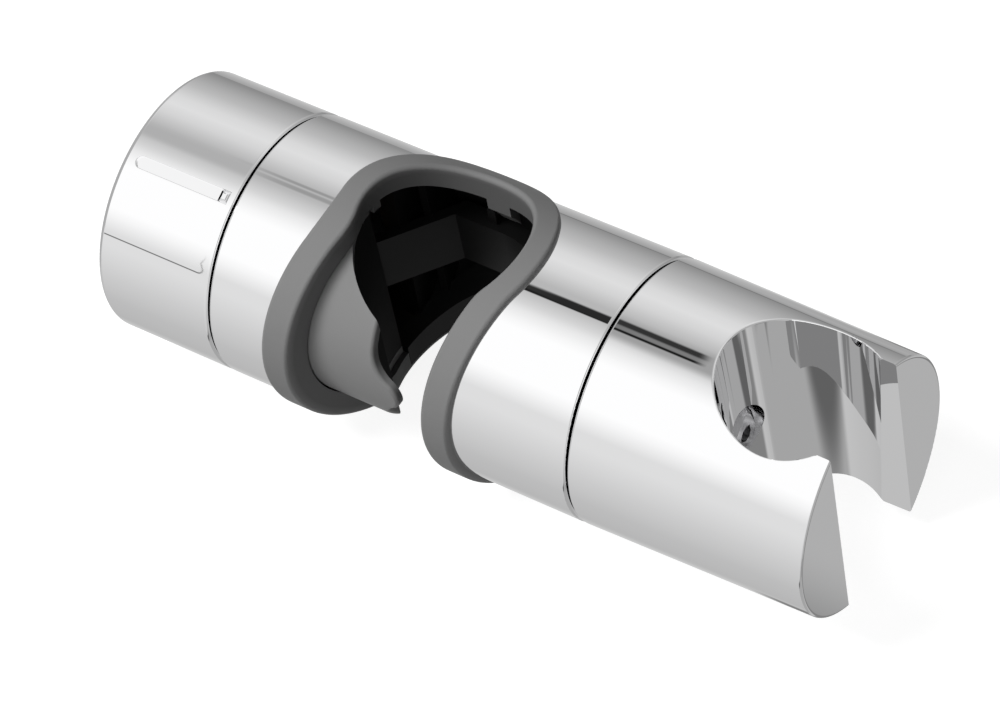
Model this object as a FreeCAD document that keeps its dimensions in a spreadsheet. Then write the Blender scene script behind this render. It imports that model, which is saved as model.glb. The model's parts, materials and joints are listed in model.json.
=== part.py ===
import FreeCAD, Part
import math
import os
import re

import Sketcher
from FreeCAD import Placement, Rotation, Vector

# Rail slider and handset holder for a shower riser rail, in millimetres.
# +X runs along the barrel from the clamp knob to the handset holder, +Z runs up along the rail.
# The origin is where the barrel's axis crosses the rail's axis. -Y is the open front of the rail slot.

SIZES = (
    # Barrel: three shells of one diameter, end to end, with a thin shadow gap between them
    ("barrel_radius", 20.5),
    ("sleeve_length", 61.5),
    ("sleeve_wall", 2.0),
    ("shell_gap", 0.35),
    ("rim_round", 0.55),
    ("fit_gap", 0.1),
    ("running_gap", 0.05),
    # Clamp knob
    ("knob_length", 20.07),
    ("knob_wall", 2.0),
    ("knob_end_wall", 2.2),
    ("knob_end_round", 1.2),
    ("index_angle", 23.0),
    ("index_width", 1.9),
    ("index_depth", 0.45),
    ("index_start", 1.1),
    ("index_length", 16.6),
    ("index_pocket", 1.7),
    ("index_pocket_depth", 1.3),
    ("mark_angle", 26.0),
    # Slanted rail slot, seen in plan: a round lobe for the rail and a straight neck to the front
    ("lobe_radius", 12.9),
    ("lobe_shift", 0.35),
    ("neck_half_width", 11.1),
    ("neck_offset", 0.94),
    ("neck_slant", 15.5),
    ("shoulder_radius", 9.0),
    # Soft-looking trim that lines the slot
    ("trim_flange", 3.9),
    ("trim_neck_flange", 4.55),
    ("trim_shoulder_radius", 30.0),
    ("trim_wall", 1.9),
    ("trim_proud", 1.0),
    ("trim_depth", 3.0),
    ("trim_round", 0.7),
    ("trim_tab", 1.4),
    ("trim_tab_width", 4.0),
    # Inner frame and the rail seat
    ("frame_inset", 0.35),
    ("liner_wall", 1.0),
    ("left_bulkhead", 2.4),
    ("right_bulkhead", 3.5),
    ("seat_radius", 12.6),
    ("seat_height", 10.4),
    ("seat_wall", 1.7),
    ("seat_back_wall", 3.0),
    ("seat_corner", 8.2),
    ("seat_left_front", 0.8),
    ("seat_low_angle", 30.0),
    ("pad_wall", 1.2),
    ("pad_height", 8.4),
    ("pad_high_angle", 72.0),
    ("cross_wall", 1.6),
    ("post_width", 3.2),
    ("rib_width", 1.4),
    ("boss_radius", 8.0),
    ("key_width", 3.0),
    ("key_reach", 12.3),
    # Clamp jaw, which slides along the barrel
    ("jaw_gap", 0.3),
    ("jaw_seat_radius", 13.6),
    ("jaw_skin", 1.4),
    ("jaw_lining", 1.9),
    ("jaw_seat_wall", 2.0),
    ("jaw_plate", 3.2),
    ("jaw_open_travel", 1.0),
    ("jaw_close_travel", 4.5),
    ("jaw_front_limit", 0.5),
    ("jaw_back_radius", 14.5),
    ("lip_dip", -4.2),
    ("lip_curve", 7.3),
    ("lip_reach", -0.3),
    ("lip_tip", 3.6),
    ("lip_middle", -0.9),
    ("lip_round", 0.7),
    # Clamp screw and the knob core that drives it
    ("screw_radius", 6.0),
    ("screw_length", 17.8),
    ("screw_flange_radius", 9.0),
    ("screw_flange", 1.2),
    ("thread_gap", 0.1),
    ("hub_radius", 9.0),
    ("hub_reach", 1.3),
    ("core_web", 2.0),
    ("core_rim", 1.9),
    ("core_length", 13.0),
    ("core_rib", 1.4),
    ("thrust_washer", 0.6),
    ("thrust_washer_radius", 14.0),
    ("clip_thickness", 0.8),
    ("clip_radius", 11.0),
    ("clip_groove", 0.8),
    # Handset holder
    ("holder_length", 37.74),
    ("holder_taper", 0.64),
    ("holder_wall", 2.2),
    ("holder_end_round", 0.5),
    ("socket_from_end", 9.94),
    ("socket_radius", 11.1),
    ("socket_taper", 2.2),
    ("handset_slot_width", 18.3),
    ("access_radius", 4.5),
    ("spigot_length", 4.6),
    ("spigot_wall", 3.6),
    ("spigot_gap", 0.2),
    ("friction_ring", 1.5),
    ("friction_ring_wall", 3.0),
    ("holder_hub_radius", 8.0),
    ("holder_hub_recess", 1.2),
    ("holder_core_depth", 7.0),
    # Pivot of the holder
    ("pivot_radius", 2.5),
    ("pivot_head_radius", 4.2),
    ("pivot_head", 2.5),
    ("pivot_shank", 24.0),
    ("bush_wall", 0.9),
    ("bush_length", 11.2),
    ("pivot_washer", 0.8),
    ("spring_height", 0.9),
    ("spring_sheet", 0.4),
    ("nut_width", 8.0),
    ("nut_length", 4.0),
    ("o_ring_section", 0.7),
)

document = FreeCAD.newDocument("shower_rail_slider")
sheet = document.addObject("Spreadsheet::Sheet", "Sizes")
for row, (alias, value) in enumerate(SIZES, start=1):
    sheet.set(f"A{row}", alias)
    sheet.set(f"B{row}", str(value))
    sheet.setAlias(f"B{row}", alias)
document.recompute()

ALIASES = {alias for alias, value in SIZES}

# Places along the barrel, as formulas of the sheet
SLEEVE_END = "(sleeve_length / 2)"
KNOB_RIM = f"(-{SLEEVE_END} - shell_gap)"
KNOB_END = f"({KNOB_RIM} - knob_length)"
HOLDER_RIM = f"({SLEEVE_END} + shell_gap)"
HOLDER_END = f"({HOLDER_RIM} + holder_length)"
HOLDER_END_RADIUS = "(barrel_radius - holder_taper)"
FRAME_RADIUS = "(barrel_radius - sleeve_wall - fit_gap)"
FRAME_END = f"({SLEEVE_END} - frame_inset)"
LINER_RADIUS = f"({FRAME_RADIUS} - liner_wall)"
TRIM_RADIUS = "(barrel_radius + trim_proud)"
SLOT_CUT = "(trim_wall + fit_gap)"
PAST = "(barrel_radius * 3)"
TAB_RADIUS = "(barrel_radius - trim_depth - trim_tab)"
JAW_RADIUS = "(barrel_radius - trim_depth - jaw_gap)"
BULKHEAD_LEFT = f"(-{FRAME_END})"
BULKHEAD_RIGHT = f"(-{FRAME_END} + left_bulkhead)"
HUB_END = f"({BULKHEAD_RIGHT} + hub_reach)"
JAW_PLATE_LEFT = f"({HUB_END} + jaw_open_travel + jaw_gap)"
JAW_PLATE_RIGHT = f"({JAW_PLATE_LEFT} + jaw_plate)"
SEAT_LEFT = f"({JAW_PLATE_RIGHT} + jaw_close_travel + jaw_gap)"
CORE_FACE = f"({BULKHEAD_LEFT} - thrust_washer - 2 * running_gap)"
SPIGOT_END = f"({FRAME_END} + spigot_length)"
HOLDER_SHOULDER = f"({SPIGOT_END} + friction_ring + 2 * running_gap)"
SOCKET_X = f"({HOLDER_END} - socket_from_end)"
BUSH_END = f"({FRAME_END} + bush_length)"
ACCESS_FLOOR = f"({BUSH_END} - spring_height - 2 * running_gap)"
SCREW_SEAT = f"({BUSH_END} + pivot_washer)"
CROSS_LEFT = f"(lobe_radius + {SLOT_CUT} + cross_wall / 2)"
CROSS_RIGHT = f"({CROSS_LEFT} + cross_wall)"
NUT_LEFT = f"({CROSS_RIGHT} + cross_wall)"
NUT_RIGHT = f"({NUT_LEFT} + nut_length)"
SPIGOT_RADIUS = "(barrel_radius - holder_wall - spigot_gap)"
O_RING_RADIUS = "(barrel_radius - holder_wall - running_gap - o_ring_section)"
O_RING_X = f"({FRAME_END} + spigot_length / 2)"
O_RING_ROOM = "(o_ring_section + fit_gap * 2)"
CORE_LEFT = f"({CORE_FACE} - core_length)"
CORE_RADIUS = "(barrel_radius - knob_wall - fit_gap)"
CLIP_LEFT = f"({BULKHEAD_RIGHT} + running_gap)"
CLIP_RIGHT = f"({CLIP_LEFT} + clip_thickness)"
CLIP_FLOOR = "(hub_radius - clip_groove)"


def formula(text):
    """The text with each alias pointed at the sheet."""
    return re.sub(r"[a-z_]+", lambda word: f"Sizes.{word[0]}" if word[0] in ALIASES else word[0], text)


def number(text):
    return float(sheet.evalExpression(formula(text)))


def bind(feature, **sizes):
    for name, text in sizes.items():
        feature.setExpression(name.replace("__", "."), formula(text))
    return feature


def place(feature, x="0", y="0", z="0", rotation=None):
    if rotation is not None:
        feature.Placement = Placement(Vector(), rotation)
    bind(feature, Placement__Base__x=x, Placement__Base__y=y, Placement__Base__z=z)
    return feature


ALONG_X = Rotation(Vector(0, 1, 0), 90)
EDGE_TOLERANCE = 0.01


def rod(name, radius, start, end):
    """A cylinder along the barrel."""
    feature = bind(document.addObject("Part::Cylinder", name), Radius=radius, Height=f"({end}) - ({start})")
    return place(feature, x=start, rotation=ALONG_X)


def post(name, radius, height, x="0", y="0"):
    """A cylinder along the rail, centred on the barrel's height."""
    feature = bind(document.addObject("Part::Cylinder", name), Radius=radius, Height=height)
    return place(feature, x=x, y=y, z=f"-({height}) / 2")


def block(name, x, y, z):
    """A box between pairs of formulas."""
    feature = document.addObject("Part::Box", name)
    bind(feature, Length=f"({x[1]}) - ({x[0]})", Width=f"({y[1]}) - ({y[0]})", Height=f"({z[1]}) - ({z[0]})")
    return place(feature, x=x[0], y=y[0], z=z[0])


def join(name, *pieces):
    feature = document.addObject("Part::MultiFuse", name)
    feature.Shapes = list(pieces)
    feature.Refine = True
    return feature


def cut(name, base, *tools):
    feature = document.addObject("Part::Cut", name)
    feature.Base = base
    feature.Tool = tools[0] if len(tools) == 1 else join(f"{name}_tools", *tools)
    feature.Refine = True
    return feature


def meet(name, *pieces):
    feature = document.addObject("Part::MultiCommon", name)
    feature.Shapes = list(pieces)
    feature.Refine = True
    return feature


def chosen_edges(shape, chosen):
    """Numbers of the edges whose points all pass a test."""
    return [
        index
        for index, edge in enumerate(shape.Edges, start=1)
        if all(chosen(point) for point in edge.discretize(7))
    ]


def soften(name, base, radius, chosen):
    """Rounds the edges of a solid that a test of their points picks out."""
    document.recompute()
    feature = document.addObject("Part::Fillet", name)
    feature.Base = base
    feature.Edges = [(index, number(radius), number(radius)) for index in chosen_edges(base.Shape, chosen)]
    return feature


def off_axis(point):
    """How far a point is from the barrel's axis."""
    return math.hypot(point.y, point.z)


def extrude(name, sketch, height, direction=Vector(0, 0, 1)):
    feature = document.addObject("Part::Extrusion", name)
    feature.Base = sketch
    feature.DirMode = "Custom"
    feature.Dir = direction
    feature.Solid = True
    feature.Symmetric = True
    return bind(feature, LengthFwd=height)


def origin_plane(body, role):
    return next(item for item in body.Origin.OriginFeatures if item.Role == role)


def new_body(name):
    body = document.addObject("PartDesign::Body", name)
    body.Label = name
    return body


def new_sketch(body, name, role="XY_Plane"):
    sketch = body.newObject("Sketcher::SketchObject", name)
    sketch.AttachmentSupport = [(origin_plane(body, role), "")]
    sketch.MapMode = "FlatFace"
    return sketch


def constrain(sketch, text, kind, *where):
    """A dimension whose value follows a formula of the sheet."""
    unit = " * 1 deg" if kind == "Angle" else ""
    value = number(text)
    if kind == "Angle":
        value = math.radians(value)
    index = sketch.addConstraint(Sketcher.Constraint(kind, *where, value))
    sketch.setExpression(f"Constraints[{index}]", f"({formula(text)}){unit}")


def polygon(sketch, corners):
    """A closed outline of straight lines. Each corner is a pair of formulas."""
    points = [Vector(number(x), number(y), 0) for x, y in corners]
    lines = [Part.LineSegment(a, b) for a, b in zip(points, points[1:] + points[:1])]
    first = sketch.addGeometry(lines, False)[0]
    count = len(corners)
    for step in range(count):
        here = first + step
        after = first + (step + 1) % count
        sketch.addConstraint(Sketcher.Constraint("Coincident", here, 2, after, 1))
    for step, (x, y) in enumerate(corners):
        constrain(sketch, x, "DistanceX", -1, 1, first + step, 1)
        if y == "0":
            sketch.addConstraint(Sketcher.Constraint("PointOnObject", first + step, 1, -1))
        else:
            constrain(sketch, y, "DistanceY", -1, 1, first + step, 1)
    return sketch


def revolve(body, name, corners):
    """A turned solid: the outline of x and radius goes once round the barrel's axis."""
    sketch = polygon(new_sketch(body, f"{name}_section"), corners)
    feature = body.newObject("PartDesign::Revolution", name)
    feature.Profile = sketch
    feature.ReferenceAxis = (sketch, ["H_Axis"])
    feature.Angle = 360
    document.recompute()
    return feature


def ring(name, inner, outer, start, end):
    """A plain turned ring or tube as a body of its own."""
    body = new_body(name)
    revolve(body, f"{name}_turned", ((start, inner), (end, inner), (end, outer), (start, outer)))
    return body


def circle_edges(shape, places):
    """Names of the round edges at these pairs of x and radius."""
    names = []
    for index, edge in enumerate(shape.Edges, start=1):
        if not isinstance(edge.Curve, Part.Circle):
            continue
        for x, radius in places:
            near_x = abs(edge.Curve.Center.x - number(x)) < 0.01
            near_radius = abs(edge.Curve.Radius - number(radius)) < 0.01
            if near_x and near_radius:
                names.append(f"Edge{index}")
    return names


def round_edges(body, name, base, names, radius):
    feature = body.newObject("PartDesign::Fillet", name)
    feature.Base = (base, names)
    bind(feature, Radius=radius)
    document.recompute()
    return feature


def pocket(body, name, sketch, depth, reverse=False, both_ways=False):
    feature = body.newObject("PartDesign::Pocket", name)
    feature.Profile = sketch
    feature.Reversed = reverse
    feature.Midplane = both_ways
    bind(feature, Length=depth)
    document.recompute()
    return feature


def slot_outline(sketch, grow, neck_grow, shoulder_size):
    """The rail slot in plan, its lobe and its neck grown outward by two formulas.

    A round lobe holds the rail. Two shoulders lead from it into the straight, slanted neck,
    which runs out past the front of the barrel.
    """
    lobe_size = f"lobe_radius + {grow}"
    right_size = f"neck_half_width + neck_offset + {neck_grow}"
    left_size = f"neck_half_width - neck_offset + {neck_grow}"
    lobe, shoulder, right, left = map(number, (lobe_size, shoulder_size, right_size, left_size))
    shift = number("lobe_shift")
    slant = math.radians(number("neck_slant"))
    far = number("barrel_radius * 1.5")
    outward = Vector(math.cos(slant), -math.sin(slant), 0)
    centre = Vector(0, shift, 0)
    reach = lobe + shoulder
    right_turn = -slant - math.acos((right + shoulder + math.sin(slant) * shift) / reach)
    left_turn = math.pi - slant + math.acos((left + shoulder - math.sin(slant) * shift) / reach)
    right_centre = centre + Vector(math.cos(right_turn), math.sin(right_turn), 0) * reach
    left_centre = centre + Vector(math.cos(left_turn), math.sin(left_turn), 0) * reach
    right_start = right_centre - outward * shoulder
    left_start = left_centre + outward * shoulder

    def at_far(point):
        return point - Vector(math.tan(slant), 1, 0) * (far + point.y)

    up = Vector(0, 0, 1)
    geometry = (
        Part.ArcOfCircle(Part.Circle(centre, up, lobe), right_turn, left_turn),
        Part.ArcOfCircle(Part.Circle(left_centre, up, shoulder), -slant, left_turn - math.pi),
        Part.LineSegment(left_start, at_far(left_start)),
        Part.LineSegment(at_far(left_start), at_far(right_start)),
        Part.LineSegment(at_far(right_start), right_start),
        Part.ArcOfCircle(Part.Circle(right_centre, up, shoulder), right_turn + math.pi, math.pi - slant),
    )
    sketch.addGeometry(list(geometry), False)
    joins = (
        ("Tangent", 0, 2, 1, 2),
        ("Tangent", 1, 1, 2, 1),
        ("Coincident", 2, 2, 3, 1),
        ("Coincident", 3, 2, 4, 1),
        ("Tangent", 4, 2, 5, 2),
        ("Tangent", 5, 1, 0, 1),
        ("Parallel", 2, 4),
        ("Horizontal", 3),
        ("PointOnObject", 0, 3, -2),
    )
    for rule in joins:
        sketch.addConstraint(Sketcher.Constraint(*rule))
    constrain(sketch, "lobe_shift", "DistanceY", -1, 1, 0, 3)
    constrain(sketch, lobe_size, "Radius", 0)
    constrain(sketch, shoulder_size, "Radius", 1)
    constrain(sketch, shoulder_size, "Radius", 5)
    constrain(sketch, right_size, "Distance", -1, 1, 4)
    constrain(sketch, left_size, "Distance", -1, 1, 2)
    constrain(sketch, "90 - neck_slant", "Angle", 4)
    constrain(sketch, "-barrel_radius * 1.5", "DistanceY", -1, 1, 3, 1)
    return sketch


def even_outline(sketch, grow):
    """The slot's outline grown outward by one distance all round."""
    return slot_outline(sketch, grow, grow, f"shoulder_radius - ({grow})")


def slot_prism(name, grow):
    sketch = document.addObject("Sketcher::SketchObject", f"{name}_outline")
    return extrude(name, even_outline(sketch, grow), PAST)


def slot_band(name, inner, outer):
    """The wall between two growths of the slot's outline."""
    return cut(name, slot_prism(f"{name}_outside", outer), slot_prism(f"{name}_inside", inner))


def under_lobe(name, x, front):
    """The lower half of the barrel behind a front line, where black lining replaces the trim's wall."""
    return block(name, (f"-({x})", x), (front, "barrel_radius"), ("-barrel_radius - 1", "0"))


def tilted_sketch(body, name, angle, height):
    """A sketch that faces out of the barrel at an angle from +Z towards the front."""
    sketch = new_sketch(body, name)
    sketch.AttachmentOffset = Placement(Vector(), Rotation(Vector(1, 0, 0), number(angle)))
    bind(
        sketch,
        AttachmentOffset__Base__y=f"-({height}) * sin({angle} * 1 deg)",
        AttachmentOffset__Base__z=f"({height}) * cos({angle} * 1 deg)",
        AttachmentOffset__Rotation__Angle=angle,
    )
    return sketch


def rectangle(sketch, x, y):
    return polygon(sketch, ((x[0], y[0]), (x[1], y[0]), (x[1], y[1]), (x[0], y[1])))


def make_sleeve():
    """Chrome middle tube, open along the rail slot, with an index notch in its left rim."""
    body = new_body("sleeve")
    inner = "barrel_radius - sleeve_wall"
    left = f"-{SLEEVE_END}"
    tube = revolve(body, "sleeve_tube", (
        (left, inner), (SLEEVE_END, inner), (SLEEVE_END, "barrel_radius"), (left, "barrel_radius"),
    ))
    rims = circle_edges(tube.Shape, ((left, "barrel_radius"), (SLEEVE_END, "barrel_radius")))
    round_edges(body, "sleeve_rims", tube, rims, "rim_round")
    outline = even_outline(new_sketch(body, "sleeve_slot_outline"), SLOT_CUT)
    pocket(body, "sleeve_slot", outline, PAST, both_ways=True)
    mark = tilted_sketch(body, "index_notch_outline", "mark_angle", "barrel_radius - index_depth")
    rectangle(mark, (f"{left} - 1", f"{left} + index_pocket * 0.6"), ("-index_width / 4", "index_width / 4"))
    pocket(body, "index_notch", mark, "index_depth * 2", reverse=True)
    return body


def make_slot_trim():
    """Saddle-shaped trim: a flange on the sleeve and a wall that lines the slot."""
    opening = slot_prism("trim_opening", "0")
    lined = cut(
        "trim_wall_band",
        meet(
            "trim_wall_round",
            slot_prism("trim_wall_prism", "trim_wall"),
            cut(
                "trim_wall_tube",
                rod("trim_wall_outside", "barrel_radius + trim_proud / 2", f"-{SLEEVE_END}", SLEEVE_END),
                rod("trim_wall_inside", "barrel_radius - trim_depth", f"-{SLEEVE_END} - 1", f"{SLEEVE_END} + 1"),
            ),
        ),
        meet(
            "lining_room",
            under_lobe("lining_room_block", SLEEVE_END, "jaw_front_limit + jaw_gap"),
            rod("lining_room_round", "barrel_radius", f"-{SLEEVE_END}", SLEEVE_END),
        ),
    )
    tabs = meet(
        "trim_tabs",
        slot_prism("trim_tab_prism", "trim_wall"),
        cut(
            "trim_tab_tube",
            rod("trim_tab_outside", "barrel_radius - trim_depth / 2", f"-{SLEEVE_END}", SLEEVE_END),
            rod("trim_tab_inside", TAB_RADIUS, f"-{SLEEVE_END} - 1", f"{SLEEVE_END} + 1"),
        ),
        join(
            "trim_tab_places",
            block(
                "back_tab",
                ("-trim_tab_width / 2", "trim_tab_width / 2"),
                ("lobe_radius / 2", "barrel_radius"),
                ("0", "barrel_radius"),
            ),
            block(
                "side_tab",
                ("-barrel_radius", "-lobe_radius / 2"),
                ("jaw_front_limit + jaw_gap", "trim_tab_width * 0.6"),
                ("0", "barrel_radius"),
            ),
        ),
    )
    flange_outline = slot_outline(
        document.addObject("Sketcher::SketchObject", "trim_flange_outline"),
        "trim_flange",
        "trim_neck_flange",
        "trim_shoulder_radius",
    )
    flange = meet(
        "trim_flange_band",
        extrude("trim_flange_prism", flange_outline, PAST),
        cut(
            "trim_flange_tube",
            rod("trim_flange_outside", TRIM_RADIUS, f"-{SLEEVE_END}", SLEEVE_END),
            rod("trim_flange_inside", "barrel_radius", f"-{SLEEVE_END} - 1", f"{SLEEVE_END} + 1"),
        ),
    )
    outside = number(TRIM_RADIUS)
    return soften(
        "slot_trim",
        cut("trim_sharp", join("trim_blank", lined, tabs, flange), opening),
        "trim_round",
        lambda point: abs(off_axis(point) - outside) < EDGE_TOLERANCE,
    )


def seat_outline(sketch):
    """The rail seat in plan, before the rail's own round is cut from it."""
    run = f"((-{SEAT_LEFT} - seat_corner) / (seat_radius - seat_left_front))"
    back = "seat_radius + seat_back_wall"
    return polygon(sketch, (
        (SEAT_LEFT, "seat_left_front"),
        ("-seat_corner", "seat_radius"),
        ("0.01", "seat_radius"),
        ("0.01", "0.01"),
        (CROSS_RIGHT, f"-{CROSS_RIGHT} * tan(seat_low_angle * 1 deg)"),
        (CROSS_RIGHT, back),
        (f"-seat_corner - seat_wall / 0.79 + seat_back_wall * {run}", back),
        (SEAT_LEFT, f"seat_left_front + seat_wall / 0.79 / {run}"),
    ))


def make_inner_frame():
    """Moulded black frame: liner, two end walls, ribs and the seat that the rail is clamped against."""
    liner = cut(
        "frame_liner",
        rod("frame_outside", FRAME_RADIUS, BULKHEAD_LEFT, FRAME_END),
        rod("frame_hollow", LINER_RADIUS, BULKHEAD_RIGHT, f"{FRAME_END} - right_bulkhead"),
        slot_prism("frame_slot", SLOT_CUT),
    )
    inside = rod("frame_inside", f"{LINER_RADIUS} + liner_wall / 2", BULKHEAD_LEFT, FRAME_END)
    seat_sketch = seat_outline(document.addObject("Sketcher::SketchObject", "seat_outline"))
    seat = cut(
        "rail_seat",
        extrude("seat_block", seat_sketch, "seat_height"),
        post("seat_round", "seat_radius", "seat_height + 2"),
    )
    slot_wall = meet(
        "slot_side_wall",
        slot_band("slot_wall_band", SLOT_CUT, f"{SLOT_CUT} + cross_wall"),
        rod("slot_wall_round", f"{LINER_RADIUS} + liner_wall / 2", "cross_wall", CROSS_RIGHT),
    )
    lining = join(
        "lobe_lining",
        *(
            meet(
                f"lining_{name}",
                slot_band(f"lining_{name}_band", "0", grow),
                cut(
                    f"lining_{name}_tube",
                    rod(f"lining_{name}_outside", outside, BULKHEAD_LEFT, FRAME_END),
                    rod(f"lining_{name}_inside", f"{LINER_RADIUS} - liner_wall", f"{BULKHEAD_LEFT} - 1", f"{FRAME_END} + 1"),
                ),
                under_lobe(f"lining_{name}_block", FRAME_END, "jaw_front_limit + jaw_gap + fit_gap"),
            )
            for name, grow, outside in (
                ("foot", f"{SLOT_CUT} + liner_wall", FRAME_RADIUS),
                ("lip", "trim_wall", "barrel_radius - fit_gap"),
            )
        ),
    )
    past = "barrel_radius"
    rib_places = (
        ("left_post", f"{SEAT_LEFT} + jaw_gap", "post_width", "seat_corner * 0.8"),
        ("left_rib", f"{SEAT_LEFT} + jaw_gap + post_width + rib_width", "rib_width", "seat_corner * 1.3"),
        ("middle_rib", "-rib_width * 2", "rib_width", "seat_radius + 1"),
        ("right_rib", "rib_width * 4", "rib_width", "seat_radius + 1"),
    )
    ribs = [
        block(name, (x, f"{x} + {width}"), (front, past), (f"-{past}", past))
        for name, x, width, front in rib_places
    ]
    key = block(
        "jaw_key",
        (f"{BULKHEAD_RIGHT} - 1", SEAT_LEFT),
        ("key_reach", past),
        ("-key_width / 2", "key_width / 2"),
    )
    trim_room = cut(
        "trim_room",
        slot_prism("trim_room_prism", SLOT_CUT),
        rod("trim_room_core", f"{TAB_RADIUS} - fit_gap", BULKHEAD_LEFT, FRAME_END),
    )
    ribbing = cut("frame_ribs", meet("rib_span", join("rib_set", *ribs, key), inside), trim_room)
    cross = rod("cross_disc", f"{LINER_RADIUS} + liner_wall / 2", CROSS_LEFT, CROSS_RIGHT)
    boss = rod("pivot_boss", "boss_radius", CROSS_LEFT, FRAME_END)
    spigot = cut(
        "spigot",
        rod("spigot_outside", SPIGOT_RADIUS, f"{FRAME_END} - 1", SPIGOT_END),
        rod("spigot_inside", f"{SPIGOT_RADIUS} - spigot_wall", FRAME_END, f"{SPIGOT_END} + 1"),
        cut(
            "o_ring_groove",
            rod("groove_outside", f"{SPIGOT_RADIUS} + 1", f"{O_RING_X} - {O_RING_ROOM}", f"{O_RING_X} + {O_RING_ROOM}"),
            rod(
                "groove_floor",
                f"{O_RING_RADIUS} - o_ring_section - running_gap",
                f"{O_RING_X} - {O_RING_ROOM} * 2",
                f"{O_RING_X} + {O_RING_ROOM} * 2",
            ),
        ),
    )
    body = join("frame_body", liner, seat, slot_wall, lining, ribbing, cross, boss, spigot)
    return cut(
        "inner_frame",
        body,
        rod("knob_bearing", "hub_radius + running_gap", f"{BULKHEAD_LEFT} - 1", f"{BULKHEAD_RIGHT} + 1"),
        rod("pivot_hole", "pivot_radius + running_gap", CROSS_RIGHT, f"{SPIGOT_END} + 1"),
        hexagon("nut_pocket", "nut_width / 2 + running_gap", NUT_LEFT, NUT_RIGHT),
        pad_shape("pad_recess", "fit_gap"),
    )


def hexagon(name, apothem, start, end):
    """A hexagonal prism along the barrel."""
    feature = document.addObject("Part::Prism", name)
    feature.Polygon = 6
    bind(feature, Circumradius=f"({apothem}) / cos(30 * 1 deg)", Height=f"({end}) - ({start})")
    return place(feature, x=start, rotation=ALONG_X)


def pad_shape(name, spare):
    """The bent grip pad in the rail seat, or the recess for it with some spare room."""
    sector = document.addObject("Part::Cylinder", f"{name}_sector")
    height = f"(pad_height + 2 * ({spare}))"
    bind(
        sector,
        Radius=f"seat_radius + pad_wall + {spare}",
        Height=height,
        Angle="seat_low_angle + pad_high_angle",
    )
    sector.Placement = Placement(Vector(), Rotation(Vector(0, 0, 1), -number("seat_low_angle")))
    place(sector, z=f"-{height} / 2")
    bind(sector, Placement__Rotation__Angle="-seat_low_angle")
    return cut(name, sector, post(f"{name}_round", "seat_radius", f"{height} + 2"))


def lip_places():
    """Centres of the lip's tongue and of the dip above it, as (x, z), and their sizes."""
    dip, curve, reach, tip, middle = map(
        number, ("lip_dip", "lip_curve", "lip_reach", "lip_tip", "lip_middle")
    )
    tongue_x = reach - tip
    dip_x = dip + curve
    rise = math.sqrt((curve + tip) ** 2 - (dip_x - tongue_x) ** 2)
    return (tongue_x, middle), (dip_x, middle + rise), tip, curve


def lip_outline(sketch, start):
    """The jaw seen from the front: straight flanks, and a blunt tongue between two round dips."""
    (tongue_x, middle), (dip_x, dip_z), tip, curve = lip_places()
    rise = dip_z - middle
    lean = math.atan2(rise, dip_x - tongue_x)
    dip, back, far = map(number, ("lip_dip", start, "barrel_radius * 1.5"))
    up = Vector(0, 0, 1)
    corners = [
        Vector(dip, dip_z, 0), Vector(dip, far, 0), Vector(back, far, 0),
        Vector(back, -far, 0), Vector(dip, -far, 0), Vector(dip, middle - rise, 0),
    ]
    geometry = [
        Part.ArcOfCircle(Part.Circle(Vector(tongue_x, middle, 0), up, tip), -lean, lean),
        Part.ArcOfCircle(Part.Circle(Vector(dip_x, dip_z, 0), up, curve), math.pi, math.pi + lean),
        *(Part.LineSegment(a, b) for a, b in zip(corners, corners[1:])),
        Part.ArcOfCircle(Part.Circle(Vector(dip_x, middle - rise, 0), up, curve), math.pi - lean, math.pi),
    ]
    sketch.addGeometry(geometry, False)
    joins = (
        ("Tangent", 0, 2, 1, 2),
        ("Tangent", 1, 1, 2, 1),
        ("Coincident", 2, 2, 3, 1),
        ("Coincident", 3, 2, 4, 1),
        ("Coincident", 4, 2, 5, 1),
        ("Coincident", 5, 2, 6, 1),
        ("Tangent", 6, 2, 7, 2),
        ("Tangent", 7, 1, 0, 1),
        ("Horizontal", 3),
        ("Vertical", 4),
        ("Horizontal", 5),
    )
    for rule in joins:
        sketch.addConstraint(Sketcher.Constraint(*rule))
    constrain(sketch, "lip_tip", "Radius", 0)
    constrain(sketch, "lip_curve", "Radius", 1)
    constrain(sketch, "lip_curve", "Radius", 7)
    constrain(sketch, "lip_reach - lip_tip", "DistanceX", -1, 1, 0, 3)
    constrain(sketch, "lip_middle", "DistanceY", -1, 1, 0, 3)
    constrain(sketch, "lip_dip", "DistanceX", -1, 1, 2, 2)
    constrain(sketch, "barrel_radius * 1.5", "DistanceY", -1, 1, 2, 2)
    constrain(sketch, start, "DistanceX", -1, 1, 4, 1)
    constrain(sketch, "-barrel_radius * 1.5", "DistanceY", -1, 1, 5, 2)
    constrain(sketch, "lip_dip", "DistanceX", -1, 1, 5, 2)
    return sketch


def jaw_half(name, start, end):
    """The space for the front half of the jaw, between two places along the barrel."""
    return block(name, (start, end), ("-barrel_radius", "jaw_front_limit"), ("-barrel_radius", "barrel_radius"))


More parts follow.
